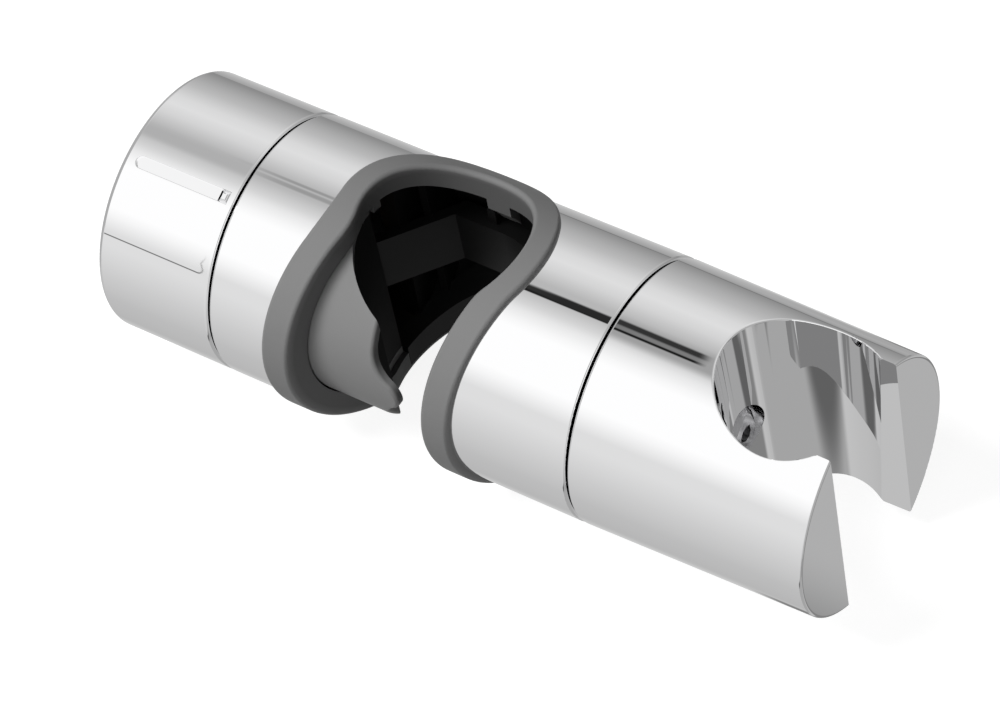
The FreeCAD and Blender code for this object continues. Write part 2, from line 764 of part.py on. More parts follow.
def make_clamp_jaw():
    """Grey jaw: an end plate and a curved shell with a lip that hooks across the slot."""
    shell = cut(
        "jaw_shell",
        rod("jaw_outside", JAW_RADIUS, JAW_PLATE_LEFT, "lip_reach + 1"),
        rod("jaw_hollow", f"{JAW_RADIUS} - jaw_skin", JAW_PLATE_RIGHT, "lip_reach + 2"),
    )
    outline = lip_outline(document.addObject("Sketcher::SketchObject", "lip_outline"), JAW_PLATE_LEFT)
    outline.Placement = Placement(Vector(), Rotation(Vector(1, 0, 0), 90))
    front = meet(
        "jaw_front",
        shell,
        extrude("lip_prism", outline, PAST, Vector(0, 1, 0)),
        jaw_half("jaw_front_half", JAW_PLATE_LEFT, "lip_reach + 1"),
    )
    plate = rod("jaw_back_plate", "jaw_back_radius", JAW_PLATE_LEFT, JAW_PLATE_RIGHT)
    outside = number(JAW_RADIUS)
    flank = number("lip_dip")
    (tongue_x, middle), (dip_x, dip_z), tip, curve = lip_places()

    def on_lip(point):
        height = abs(point.z - middle)
        off_lip = min(
            abs(point.x - flank),
            abs(math.hypot(point.x - tongue_x, height) - tip),
            abs(math.hypot(point.x - dip_x, height - dip_z + middle) - curve),
        )
        return off_lip < EDGE_TOLERANCE and abs(off_axis(point) - outside) < EDGE_TOLERANCE

    sharp = cut(
        "jaw_sharp",
        join("jaw_blank", front, plate),
        post("jaw_rail_room", "jaw_seat_radius", "barrel_radius * 2"),
        rod("flange_recess", "screw_flange_radius", f"{JAW_PLATE_RIGHT} - screw_flange", f"{JAW_PLATE_RIGHT} + 1"),
        rod("screw_hole", "screw_radius", f"{JAW_PLATE_LEFT} - 1", JAW_PLATE_RIGHT),
        block(
            "key_notch",
            (f"{JAW_PLATE_LEFT} - 1", f"{JAW_PLATE_RIGHT} + 1"),
            ("key_reach - jaw_gap", "barrel_radius"),
            ("-key_width / 2 - fit_gap", "key_width / 2 + fit_gap"),
        ),
    )
    return soften("clamp_jaw", sharp, "lip_round", on_lip)


def make_jaw_seat():
    """Black insert that backs the jaw's shell and presses on the rail."""
    start = f"{JAW_PLATE_RIGHT} + running_gap"
    outside = f"{JAW_RADIUS} - jaw_skin - running_gap"
    shell = cut(
        "seat_shell",
        rod("seat_shell_outside", outside, start, "lip_dip"),
        rod("seat_shell_inside", f"{outside} - jaw_lining", f"{start} - 1", "lip_dip + 1"),
    )
    wall = meet(
        "seat_wall_round",
        post("seat_wall_post", "jaw_seat_radius + jaw_seat_wall", "barrel_radius * 2"),
        rod("seat_wall_limit", outside, start, "0"),
    )
    ribs = meet(
        "seat_ribs",
        join(
            "seat_rib_set",
            *(
                block(
                    f"seat_rib_{side}",
                    (start, "-jaw_seat_radius"),
                    (f"-{JAW_RADIUS}", "jaw_front_limit"),
                    (f"{middle} - rib_width / 2", f"{middle} + rib_width / 2"),
                )
                for side, middle in (("upper", "screw_flange_radius"), ("lower", "-screw_flange_radius"))
            ),
        ),
        rod("seat_rib_limit", f"{outside} - jaw_lining / 2", start, "0"),
    )
    return cut(
        "jaw_seat",
        meet("seat_front", join("seat_blank", shell, wall, ribs), jaw_half("seat_front_half", start, "lip_dip")),
        post("seat_rail_room", "jaw_seat_radius", "barrel_radius * 2"),
    )


def make_rail_pad():
    return pad_shape("rail_pad", "0")


def make_clamp_screw():
    """Hollow spindle with a flange that is sunk in the jaw's plate. Its thread runs in the knob's core."""
    body = new_body("clamp_screw")
    end = f"{JAW_PLATE_RIGHT} - screw_length"
    bore = "screw_radius / 2"
    revolve(body, "screw_turned", (
        (end, bore),
        (JAW_PLATE_RIGHT, bore),
        (JAW_PLATE_RIGHT, "screw_flange_radius"),
        (f"{JAW_PLATE_RIGHT} - screw_flange", "screw_flange_radius"),
        (f"{JAW_PLATE_RIGHT} - screw_flange", "screw_radius"),
        (f"{end} + screw_radius / 6", "screw_radius"),
        (end, "screw_radius * 5 / 6"),
    ))
    return body


def make_clamp_knob():
    """Chrome cup with a sunk index channel that ends in a small square pocket."""
    body = new_body("clamp_knob")
    inner = "barrel_radius - knob_wall"
    floor = f"{KNOB_END} + knob_end_wall"
    cup = revolve(body, "knob_cup", (
        (KNOB_END, "0"),
        (KNOB_END, "barrel_radius"),
        (KNOB_RIM, "barrel_radius"),
        (KNOB_RIM, inner),
        (floor, inner),
        (floor, "0"),
    ))
    end_edge = circle_edges(cup.Shape, ((KNOB_END, "barrel_radius"),))
    rounded = round_edges(body, "knob_end_edge", cup, end_edge, "knob_end_round")
    rim = circle_edges(rounded.Shape, ((KNOB_RIM, "barrel_radius"),))
    round_edges(body, "knob_rim", rounded, rim, "rim_round")
    half = "index_width / 2"
    right = f"({KNOB_RIM} - index_start)"
    channel = tilted_sketch(body, "index_channel_outline", "index_angle", "barrel_radius - index_depth")
    obround(channel, f"{right} - index_length", right, half)
    pocket(body, "index_channel", channel, "index_depth * 2", reverse=True)
    square = tilted_sketch(body, "index_pocket_outline", "index_angle", "barrel_radius - index_pocket_depth")
    rectangle(square, (f"{right} - index_pocket", right), (f"-{half}", half))
    pocket(body, "index_pocket", square, "index_pocket_depth * 2", reverse=True)
    return body


def obround(sketch, start, end, radius):
    """A channel outline with a round left end and a square right end."""
    left = number(f"{start} + {radius}")
    right = number(end)
    half = number(radius)
    centre = Vector(left, 0, 0)
    sketch.addGeometry([
        Part.ArcOfCircle(Part.Circle(centre, Vector(0, 0, 1), half), math.pi / 2, math.pi * 3 / 2),
        Part.LineSegment(Vector(left, -half, 0), Vector(right, -half, 0)),
        Part.LineSegment(Vector(right, -half, 0), Vector(right, half, 0)),
        Part.LineSegment(Vector(right, half, 0), Vector(left, half, 0)),
    ], False)
    rules = (
        ("Tangent", 0, 2, 1, 1),
        ("Coincident", 1, 2, 2, 1),
        ("Coincident", 2, 2, 3, 1),
        ("Tangent", 3, 2, 0, 1),
        ("Horizontal", 1),
        ("Vertical", 2),
        ("PointOnObject", 0, 3, -1),
    )
    for rule in rules:
        sketch.addConstraint(Sketcher.Constraint(*rule))
    constrain(sketch, radius, "Radius", 0)
    constrain(sketch, f"{start} + {radius}", "DistanceX", -1, 1, 0, 3)
    constrain(sketch, end, "DistanceX", -1, 1, 1, 2)
    return sketch


def make_knob_core():
    """Ribbed insert pressed into the knob. Its hub turns in the frame and is threaded for the screw."""
    body = new_body("knob_core")
    bore = "screw_radius + thread_gap"
    web = f"{CORE_FACE} - core_web"
    rim = f"({CORE_RADIUS} - core_rim)"
    revolve(body, "core_turned", (
        (CORE_LEFT, bore),
        (HUB_END, bore),
        (HUB_END, "hub_radius"),
        (CLIP_RIGHT, "hub_radius"),
        (CLIP_RIGHT, CLIP_FLOOR),
        (CLIP_LEFT, CLIP_FLOOR),
        (CLIP_LEFT, "hub_radius"),
        (CORE_FACE, "hub_radius"),
        (CORE_FACE, CORE_RADIUS),
        (CORE_LEFT, CORE_RADIUS),
        (CORE_LEFT, rim),
        (web, rim),
        (web, "hub_radius"),
        (CORE_LEFT, "hub_radius"),
    ))
    outline = new_sketch(body, "core_rib_outline")
    rectangle(outline, (f"{CORE_LEFT} + core_rib", web), ("hub_radius - core_rib / 2", f"{rim} + core_rib / 2"))
    rib = body.newObject("PartDesign::Pad", "core_rib_pad")
    rib.Profile = outline
    rib.Midplane = True
    bind(rib, Length="core_rib")
    document.recompute()
    pattern = body.newObject("PartDesign::PolarPattern", "core_ribs")
    pattern.Originals = [rib]
    pattern.Axis = (origin_plane(body, "X_Axis"), [""])
    pattern.Angle = 360
    pattern.Occurrences = 6
    body.Tip = pattern
    return body


def make_thrust_washer():
    right = f"({BULKHEAD_LEFT} - running_gap)"
    return ring("knob_washer", "hub_radius + running_gap", "thrust_washer_radius", f"{right} - thrust_washer", right)


def make_retaining_clip():
    """Open spring clip in the hub's groove. It keeps the knob on the frame."""
    body = ring("retaining_clip", CLIP_FLOOR, "clip_radius", CLIP_LEFT, CLIP_RIGHT)
    outline = new_sketch(body, "clip_opening_outline")
    rectangle(outline, (f"{CLIP_LEFT} - 1", f"{CLIP_RIGHT} + 1"), ("hub_radius / 2", "clip_radius + 1"))
    pocket(body, "clip_opening", outline, CLIP_FLOOR, both_ways=True)
    return body


def make_handset_holder():
    """Chrome end barrel with a conical socket for the handset and a slot for its hose."""
    body = new_body("handset_holder")
    inner = "barrel_radius - holder_wall"
    bush = "pivot_radius + bush_wall + running_gap"
    cavity = f"({SPIGOT_RADIUS} - spigot_wall)"
    core_end = f"{HOLDER_SHOULDER} + holder_core_depth"
    hub = f"{FRAME_END} + holder_hub_recess"
    barrel = revolve(body, "holder_barrel", (
        (HOLDER_RIM, inner),
        (HOLDER_RIM, "barrel_radius"),
        (HOLDER_END, HOLDER_END_RADIUS),
        (HOLDER_END, "access_radius"),
        (ACCESS_FLOOR, "access_radius"),
        (ACCESS_FLOOR, bush),
        (hub, bush),
        (hub, "holder_hub_radius"),
        (core_end, "holder_hub_radius"),
        (core_end, cavity),
        (HOLDER_SHOULDER, cavity),
        (HOLDER_SHOULDER, inner),
    ))
    rims = circle_edges(barrel.Shape, ((HOLDER_RIM, "barrel_radius"),))
    rounded = round_edges(body, "holder_rim", barrel, rims, "rim_round")
    end_edge = circle_edges(rounded.Shape, ((HOLDER_END, HOLDER_END_RADIUS),))
    round_edges(body, "holder_end_edge", rounded, end_edge, "holder_end_round")
    reach = "(barrel_radius + 2)"
    flare = f"{reach} * tan(socket_taper * 1 deg)"
    socket = body.newObject("PartDesign::SubtractiveCone", "handset_socket")
    bind(
        socket,
        Radius1=f"socket_radius - {flare}",
        Radius2=f"socket_radius + {flare}",
        Height=f"2 * {reach}",
        Placement__Base__x=SOCKET_X,
        Placement__Base__z=f"-{reach}",
    )
    document.recompute()
    outline = new_sketch(body, "hose_slot_outline")
    half = "handset_slot_width / 2"
    rectangle(outline, (SOCKET_X, f"{HOLDER_END} + 1"), (f"-{half}", half))
    pocket(body, "hose_slot", outline, PAST, both_ways=True)
    return body


def make_pivot_screw():
    """Pan-head screw that carries the holder, with a hexagon socket."""
    body = new_body("pivot_screw")
    end = f"{SCREW_SEAT} - pivot_shank"
    top = f"{SCREW_SEAT} + pivot_head"
    revolve(body, "pivot_turned", (
        (end, "0"),
        (end, "pivot_radius"),
        (SCREW_SEAT, "pivot_radius"),
        (SCREW_SEAT, "pivot_head_radius"),
        (f"{top} - pivot_head / 3", "pivot_head_radius"),
        (top, "pivot_head_radius * 0.7"),
        (top, "0"),
    ))
    outline = new_sketch(body, "pivot_drive_outline", "YZ_Plane")
    bind(outline, AttachmentOffset__Base__z=top)
    reach = "pivot_radius * 0.6"
    side = f"{reach} * cos(60 * 1 deg)"
    rise = f"{reach} * sin(60 * 1 deg)"
    polygon(outline, (
        (reach, "0"), (side, rise), (f"-{side}", rise), (f"-{reach}", "0"), (f"-{side}", f"-{rise}"), (side, f"-{rise}"),
    ))
    pocket(body, "pivot_drive", outline, "pivot_head * 0.6")
    return body


def make_disc_spring():
    """Conical spring washer that presses the holder onto its friction ring."""
    body = new_body("disc_spring")
    start = f"{ACCESS_FLOOR} + running_gap"
    inner = "pivot_radius + bush_wall + running_gap * 2"
    outer = "access_radius - running_gap * 2"
    revolve(body, "disc_turned", (
        (start, outer),
        (f"{start} + spring_sheet", outer),
        (f"{start} + spring_height", inner),
        (f"{start} + spring_height - spring_sheet", inner),
    ))
    return body


def make_pivot_nut():
    return cut(
        "pivot_nut",
        hexagon("nut_outside", "nut_width / 2", NUT_LEFT, NUT_RIGHT),
        rod("nut_bore", "pivot_radius", f"{NUT_LEFT} - 1", f"{NUT_RIGHT} + 1"),
    )


def make_o_ring():
    feature = document.addObject("Part::Torus", "o_ring")
    bind(feature, Radius1=O_RING_RADIUS, Radius2="o_ring_section")
    return place(feature, x=O_RING_X, rotation=ALONG_X)


pieces = [
    make_sleeve(),
    make_slot_trim(),
    make_inner_frame(),
    make_rail_pad(),
    make_clamp_jaw(),
    make_jaw_seat(),
    make_clamp_screw(),
    make_clamp_knob(),
    make_knob_core(),
    make_thrust_washer(),
    make_retaining_clip(),
    make_handset_holder(),
    make_pivot_screw(),
    ring("pivot_bush", "pivot_radius + running_gap", "pivot_radius + bush_wall", FRAME_END, BUSH_END),
    ring("pivot_washer", "pivot_radius + running_gap", "pivot_head_radius", BUSH_END, SCREW_SEAT),
    make_disc_spring(),
    ring(
        "friction_ring",
        f"{SPIGOT_RADIUS} - spigot_gap - friction_ring_wall",
        f"{SPIGOT_RADIUS} - spigot_gap",
        f"{SPIGOT_END} + running_gap",
        f"{SPIGOT_END} + running_gap + friction_ring",
    ),
    make_pivot_nut(),
    make_o_ring(),
]
document.recompute()

for feature in document.Objects:
    if "Invalid" in feature.State or "Error" in feature.State:
        raise RuntimeError(f"{feature.Name} did not build: {feature.State}")

os.makedirs("parts", exist_ok=True)
for piece in pieces:
    piece.Label = piece.Name
    if piece.Shape.isNull() or not piece.Shape.isValid():
        raise RuntimeError(f"{piece.Label} has no valid shape")
    piece.Shape.exportStep(f"parts/{piece.Label}.step")
    print(f"{piece.Label}: {len(piece.Shape.Solids)} solid, {piece.Shape.Volume:.0f} mm3")
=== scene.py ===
import json
import math
from collections import namedtuple

import bmesh
import bpy
from mathutils import Matrix, Vector


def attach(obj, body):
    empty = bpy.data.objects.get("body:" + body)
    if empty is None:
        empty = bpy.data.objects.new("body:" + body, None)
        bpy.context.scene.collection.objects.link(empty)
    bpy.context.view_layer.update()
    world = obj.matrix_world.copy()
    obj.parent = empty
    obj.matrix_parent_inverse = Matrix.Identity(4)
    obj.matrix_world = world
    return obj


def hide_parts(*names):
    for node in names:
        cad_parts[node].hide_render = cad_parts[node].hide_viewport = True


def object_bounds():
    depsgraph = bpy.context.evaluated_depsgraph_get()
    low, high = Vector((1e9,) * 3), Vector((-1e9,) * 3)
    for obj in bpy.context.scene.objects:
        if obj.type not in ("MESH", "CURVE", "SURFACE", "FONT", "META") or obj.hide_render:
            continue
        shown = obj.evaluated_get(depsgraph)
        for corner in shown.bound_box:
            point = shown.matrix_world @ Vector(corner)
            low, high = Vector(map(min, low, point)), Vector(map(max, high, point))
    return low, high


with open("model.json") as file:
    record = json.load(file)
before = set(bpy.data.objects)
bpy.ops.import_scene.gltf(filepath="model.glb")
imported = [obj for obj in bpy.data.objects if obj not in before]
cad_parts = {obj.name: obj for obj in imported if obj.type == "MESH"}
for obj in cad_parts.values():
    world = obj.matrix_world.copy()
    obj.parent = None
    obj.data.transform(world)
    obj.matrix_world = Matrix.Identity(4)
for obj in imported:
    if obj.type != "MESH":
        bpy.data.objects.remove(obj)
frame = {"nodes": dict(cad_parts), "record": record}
CAD_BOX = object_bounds()

NODES = frame["nodes"]
BODY_OF = {
    name: body
    for body, names in frame["record"]["behaviour"]["bodies"].items()
    for name in names
}

# Places are in metres. X runs along the barrel's axis from the clamp knob to
# the handset holder, Z runs up along the rail, and -Y is the front of the slot.
BARREL_RADIUS = 0.0205
TRIM_RADIUS = 0.0215
FRAME_RADIUS = 0.0184
JAW_RADIUS = 0.0172
KNOB_END = -0.05117
KNOB_RIM = -0.0311
SLEEVE_END = 0.03075
HOLDER_RIM = 0.0311
HOLDER_END = 0.06884
HOLDER_TAPER = 0.00064
SOCKET_X = 0.0589
SOCKET_RADIUS = 0.0111
SOCKET_TAPER = math.radians(2.2)

# The rounds of the chrome's edges. The first three are in the solids, and the
# last two are put on here, between two places along the barrel.
RIM_ROUND = 0.00055
KNOB_END_ROUND = 0.0012
HOLDER_END_ROUND = 0.0005
CHANNEL_ROUND = 0.00014
CHANNEL_SPAN = (-0.0505, -0.0318)
MOUTH_ROUND = 0.00036
MOUTH_SPAN = (0.036, 0.0682)
ROUND_STEPS = 4

# The faceted stud in the square pocket at the end of the knob's channel.
INDEX_ANGLE = math.radians(23)
STUD_PLACE = (-0.03305, 0.0, 0.01978)
STUD_SIZE = (0.00148, 0.00168, 0.00112)
STUD_FACET = 0.00042

# Two faces that turn from each other by less than this share a smooth surface.
SMOOTH_ANGLE = math.radians(24)
# A face on a round surface looks the surface's own way out, within this angle,
# and its corners lie within this distance of it.
ROUND_ANGLE = math.radians(30)
SURFACE_SLACK = 2.5e-5
# A face smaller than this many square metres has no sure direction.
SLIVER_AREA = 4e-10
# How much more a face on a round surface counts in a shared corner.
ROUND_WEIGHT = 4
MERGE_DISTANCE = 2e-6


# Colours


def linear(level):
    """The linear value of a display level between 0 and 255."""
    part = level / 255
    if part <= 0.04045:
        return part / 12.92
    return ((part + 0.055) / 1.055) ** 2.4


def grey(level):
    """A grey as RGBA, from its display level."""
    value = linear(level)
    return (value, value, value, 1.0)


# Shader nodes

# The colour sockets of a Mix node, which come after those for other values.
MIX_BELOW = 6
MIX_ABOVE = 7
MIX_RESULT = 2


def fill(tree, socket, value):
    """Gives a socket a value of its own, or links it to another socket."""
    if isinstance(value, bpy.types.NodeSocket):
        tree.links.new(value, socket)
    else:
        socket.default_value = value


def node(tree, kind, inputs=None, **settings):
    """Adds a shader node with its settings and what its sockets get."""
    made = tree.nodes.new(kind)
    for name, value in settings.items():
        setattr(made, name, value)
    for name, value in (inputs or {}).items():
        fill(tree, made.inputs[name], value)
    return made


def maths(tree, operation, *values, clamp=False):
    """A Math node; each value is a number or a socket."""
    made = node(tree, "ShaderNodeMath", operation=operation, use_clamp=clamp)
    for socket, value in zip(made.inputs, values):
        fill(tree, socket, value)
    return made.outputs[0]


def mapped(tree, value, low=0.0, high=1.0, to_low=0.0, to_high=1.0, smooth=True):
    """Goes from one number to another as a value goes from low to high; low
    may be the larger of the two."""
    made = node(
        tree, "ShaderNodeMapRange",
        {"Value": value, "From Min": low, "From Max": high, "To Min": to_low, "To Max": to_high},
        interpolation_type="SMOOTHSTEP" if smooth else "LINEAR",
    )
    return made.outputs["Result"]


def mixed(tree, below, above, factor=1.0, blend="MIX"):
    """One colour laid over another; all three are values or sockets."""
    made = node(
        tree, "ShaderNodeMix", {"Factor": factor, MIX_BELOW: below, MIX_ABOVE: above},
        data_type="RGBA", blend_type=blend,
    )
    return made.outputs[MIX_RESULT]


def noise(tree, place, scale, detail, roughness=0.5, distortion=0.0):
    """The value of a Noise node."""
    made = node(
        tree, "ShaderNodeTexNoise",
        {
            "Vector": place, "Scale": scale, "Detail": detail, "Roughness": roughness,
            "Distortion": distortion,
        },
    )
    return made.outputs["Fac"]


def distance(tree, across, up):
    """How far a place is from a point, by its way across and its way up."""
    squares = maths(
        tree, "ADD", maths(tree, "POWER", across, 2.0), maths(tree, "POWER", up, 2.0),
    )
    return maths(tree, "SQRT", squares)


def place_on(tree):
    """The place on the piece, in metres."""
    return node(tree, "ShaderNodeTexCoord").outputs["Object"]


def axes_on(tree):
    """The X, Y and Z of the place on the piece."""
    return node(tree, "ShaderNodeSeparateXYZ", {"Vector": place_on(tree)}).outputs


def ramp(tree, factor, stops):
    """A ColorRamp of (place, display level) stops."""
    made = node(tree, "ShaderNodeValToRGB", {"Fac": factor})
    elements = made.color_ramp.elements
    while len(elements) < len(stops):
        elements.new(0.5)
    for element, (place, level) in zip(elements, stops):
        element.position = place
    # A stop's place may change its turn, so the colours come after the places.
    for element, (place, level) in zip(elements, stops):
        element.color = grey(level)
    return made.outputs["Color"]


def seen(tree):
    """1 for what the camera sees, be it straight, in metal or through glass."""
    path = node(tree, "ShaderNodeLightPath").outputs
    rays = maths(tree, "ADD", path["Is Camera Ray"], path["Is Glossy Ray"])
    return maths(tree, "ADD", rays, path["Is Transmission Ray"], clamp=True)


# Shared effects

GLOSS_PATCH_SCALE = 110.0
SMEAR_SCALE = 85.0
SMEAR_FROM = 0.46
SMEAR_FULL = 0.74
# Polish lines run along the barrel, so their noise is stretched in X.
LINE_STRETCH = (0.02, 1.0, 1.0)


def group(name, inputs, outputs):
    """An empty shader node group with float sockets."""
    tree = bpy.data.node_groups.new(name, "ShaderNodeTree")
    for title, value in inputs.items():
        socket = tree.interface.new_socket(title, in_out="INPUT", socket_type="NodeSocketFloat")
        socket.default_value = value
    for title in outputs:
        tree.interface.new_socket(title, in_out="OUTPUT", socket_type="NodeSocketFloat")
    return tree, tree.nodes.new("NodeGroupInput").outputs, tree.nodes.new("NodeGroupOutput").inputs


def moulded_grain():
    """The fine spark-eroded grain and slow gloss changes of a moulded part."""
    tree, given, out = group(
        "moulded_grain",
        {"Grain Scale": 7000.0, "Gloss": 0.45, "Gloss Change": 0.1, "Tone Change": 0.05},
        ("Roughness", "Tone", "Height"),
    )
    place = place_on(tree)
    fine = noise(tree, place, given["Grain Scale"], detail=2.0, roughness=0.55)
    slow = noise(tree, place, GLOSS_PATCH_SCALE, detail=3.0)
    swing = maths(tree, "SUBTRACT", slow, 0.5)
    rough = maths(tree, "MULTIPLY_ADD", swing, given["Gloss Change"], given["Gloss"])
    speck = maths(tree, "SUBTRACT", fine, 0.5)
    rough = maths(tree, "MULTIPLY_ADD", speck, given["Gloss Change"], rough)
    tone = maths(tree, "MULTIPLY_ADD", speck, given["Tone Change"], 1.0)
    tone = maths(tree, "MULTIPLY_ADD", swing, given["Tone Change"], tone)
    tree.links.new(rough, out["Roughness"])
    tree.links.new(tone, out["Tone"])
    tree.links.new(fine, out["Height"])
    return tree


def metal_film():
    """Faint handling smears and polish lines on a plated or turned metal."""
    tree, given, out = group(
        "metal_film",
        {"Gloss": 0.05, "Smear": 0.03, "Line Scale": 2500.0},
        ("Roughness", "Height"),
    )
    place = place_on(tree)
    patches = noise(tree, place, SMEAR_SCALE, detail=4.0, roughness=0.6, distortion=0.6)
    smear = mapped(tree, patches, SMEAR_FROM, SMEAR_FULL)
    stretched = node(tree, "ShaderNodeMapping", {"Vector": place, "Scale": LINE_STRETCH})
    lines = noise(tree, stretched.outputs["Vector"], given["Line Scale"], detail=1.0)
    rough = maths(tree, "MULTIPLY_ADD", smear, given["Smear"], given["Gloss"])
    tree.links.new(rough, out["Roughness"])
    tree.links.new(lines, out["Height"])
    return tree


GRAIN = moulded_grain()
FILM = metal_film()


# Finishes

GLOSS_CHANGE = 0.1
GRAIN_STRENGTH = 0.35
# The share of the light that the chrome gives back.
CHROME_SHARE = 0.955


def surface(name):
    """A node material with its tree and its Principled shader."""
    material = bpy.data.materials.new(name)
    material.use_nodes = True
    tree = material.node_tree
    return material, tree, tree.nodes["Principled BSDF"]


def bumped(tree, shader, height, strength, depth):
    """Turns the shader's normal by a height, through a Bump node."""
    bump = node(
        tree, "ShaderNodeBump", {"Strength": strength, "Distance": depth, "Height": height},
    )
    tree.links.new(bump.outputs["Normal"], shader.inputs["Normal"])


def moulded(name, colour, gloss, grain_scale, tone_change, depth, shine):
    """A moulded plastic or rubber finish; shine is its specular level."""
    material, tree, shader = surface(name)
    grain = node(
        tree, "ShaderNodeGroup",
        {
            "Grain Scale": grain_scale, "Gloss": gloss, "Gloss Change": GLOSS_CHANGE,
            "Tone Change": tone_change,
        },
        node_tree=GRAIN,
    ).outputs
    tinted = mixed(tree, colour, grain["Tone"], blend="MULTIPLY")
    tree.links.new(tinted, shader.inputs["Base Color"])
    tree.links.new(grain["Roughness"], shader.inputs["Roughness"])
    shader.inputs["Specular IOR Level"].default_value = shine
    bumped(tree, shader, grain["Height"], GRAIN_STRENGTH, depth)
    return material


def painted_shade_inside(material, radius, depth, share):
    """Paints shade into a barrel-shaped moulding's colour, darker below a radius about X."""
    tree = material.node_tree
    colour = tree.nodes["Principled BSDF"].inputs["Base Color"]
    axes = axes_on(tree)
    tone = mapped(
        tree, distance(tree, axes["Y"], axes["Z"]), radius - depth, radius, to_low=share,
        smooth=False,
    )
    # Painted shade: the colour is multiplied down below the radius, towards the axis.
    shaded = mixed(tree, colour.links[0].from_socket, tone, blend="MULTIPLY")
    tree.links.new(shaded, colour)


def metal(name, colour, gloss, smear, line_scale, depth, strength):
    """A plated or turned metal finish."""
    material, tree, shader = surface(name)
    film = node(
        tree, "ShaderNodeGroup", {"Gloss": gloss, "Smear": smear, "Line Scale": line_scale},
        node_tree=FILM,
    ).outputs
    shader.inputs["Base Color"].default_value = colour
    shader.inputs["Metallic"].default_value = 1.0
    tree.links.new(film["Roughness"], shader.inputs["Roughness"])
    bumped(tree, shader, film["Height"], strength, depth)
    return material


FINISHES = {
    "chrome_shell": metal(
        "bright_chrome", (CHROME_SHARE, CHROME_SHARE, 0.96, 1),
        gloss=0.012, smear=0.014, line_scale=900.0, depth=1e-7, strength=0.012,
    ),
    "grey_trim": moulded(
        "satin_grey_trim", grey(130),
        gloss=0.44, grain_scale=7000.0, tone_change=0.05, depth=1.5e-5, shine=0.3,
    ),
    "grey_jaw": moulded(
        "satin_grey_jaw", grey(134),
        gloss=0.42, grain_scale=7000.0, tone_change=0.05, depth=1.5e-5, shine=0.35,
    ),
    "black_moulding": moulded(
        "black_moulding", grey(11),
        gloss=0.46, grain_scale=6000.0, tone_change=0.12, depth=2e-5, shine=0.2,
    ),
    "black_lining": moulded(
        "black_jaw_lining", grey(7),
        gloss=0.6, grain_scale=6000.0, tone_change=0.12, depth=2e-5, shine=0.12,
    ),
    "black_rubber": moulded(
        "black_rubber", grey(26),
        gloss=0.72, grain_scale=8000.0, tone_change=0.10, depth=2e-5, shine=0.2,
    ),
    "brass": metal(
        "turned_brass", (0.83, 0.62, 0.30, 1),
        gloss=0.22, smear=0.10, line_scale=2500.0, depth=4e-6, strength=0.3,
    ),
    "white_plastic": moulded(
        "white_plastic", grey(222),
        gloss=0.35, grain_scale=6000.0, tone_change=0.03, depth=8e-6, shine=0.5,
    ),
    "steel": metal(
        "bright_steel", (0.60, 0.60, 0.61, 1),
        gloss=0.30, smear=0.06, line_scale=2500.0, depth=1e-6, strength=0.12,
    ),
}

# Painted shade: the trim's inner wall is darker than its flange, for the shade inside the slot.
painted_shade_inside(FINISHES["grey_trim"], radius=0.0211, depth=0.0012, share=0.6)


# Round surfaces

# A surface about an axis through a centre: its radius there, how much that
# grows along the axis, and, for the rounded rim of a barrel, its bead.
Round = namedtuple("Round", "axis centre radius slope bead")
ALONG = Vector((1, 0, 0))
UPRIGHT = Vector((0, 0, 1))


def barrel(radius, slope=0.0):
    """A barrel about the X axis: its radius at X = 0 and its slope."""
    return Round(ALONG, Vector((0, 0, 0)), radius, slope, bead=0.0)


def rounded_rim(end, side, bead, skin):
    """The bead that rounds a barrel's edge: the end's X, 1 or -1 for an end
    towards +X or -X, the bead's radius and the barrel."""
    middle = end - side * bead
    lean = math.sqrt(1 + skin.slope ** 2)
    radius = skin.radius + skin.slope * middle - bead * lean
    return Round(ALONG, Vector((middle, 0, 0)), radius, 0.0, bead)


def off_round(form, at):
    """How far a point is from a round surface, and the way out there."""
    arm = at - form.centre
    along = arm.dot(form.axis)
    across = arm - form.axis * along
    if form.bead:
        out = form.axis * along + across.normalized() * (across.length - form.radius)
        return out.length - form.bead, out.normalized()
    out = (across.normalized() - form.axis * form.slope).normalized()
    return across.length - (form.radius + form.slope * along), out


def lies_on(form, corners, normal, area):
    """Whether a face is a piece of a round surface."""
    total = Vector()
    for at in corners:
        gap, out = off_round(form, at)
        if abs(gap) > SURFACE_SLACK:
            return False
        total += out
    return area < SLIVER_AREA or abs(normal.dot(total.normalized())) > math.cos(ROUND_ANGLE)


def round_normal(form, at, facing):
    """A round surface's normal at a point, on the side that a face looks to."""
    out = off_round(form, at)[1]
    return out if facing.dot(out) > 0 else -out


HOLDER_SLOPE = -HOLDER_TAPER / (HOLDER_END - HOLDER_RIM)
HOLDER_SKIN = barrel(BARREL_RADIUS - HOLDER_SLOPE * HOLDER_RIM, HOLDER_SLOPE)
SOCKET = Round(UPRIGHT, Vector((SOCKET_X, 0, 0)), SOCKET_RADIUS, math.tan(SOCKET_TAPER), bead=0.0)
SKIN = barrel(BARREL_RADIUS)


# Smooth shells


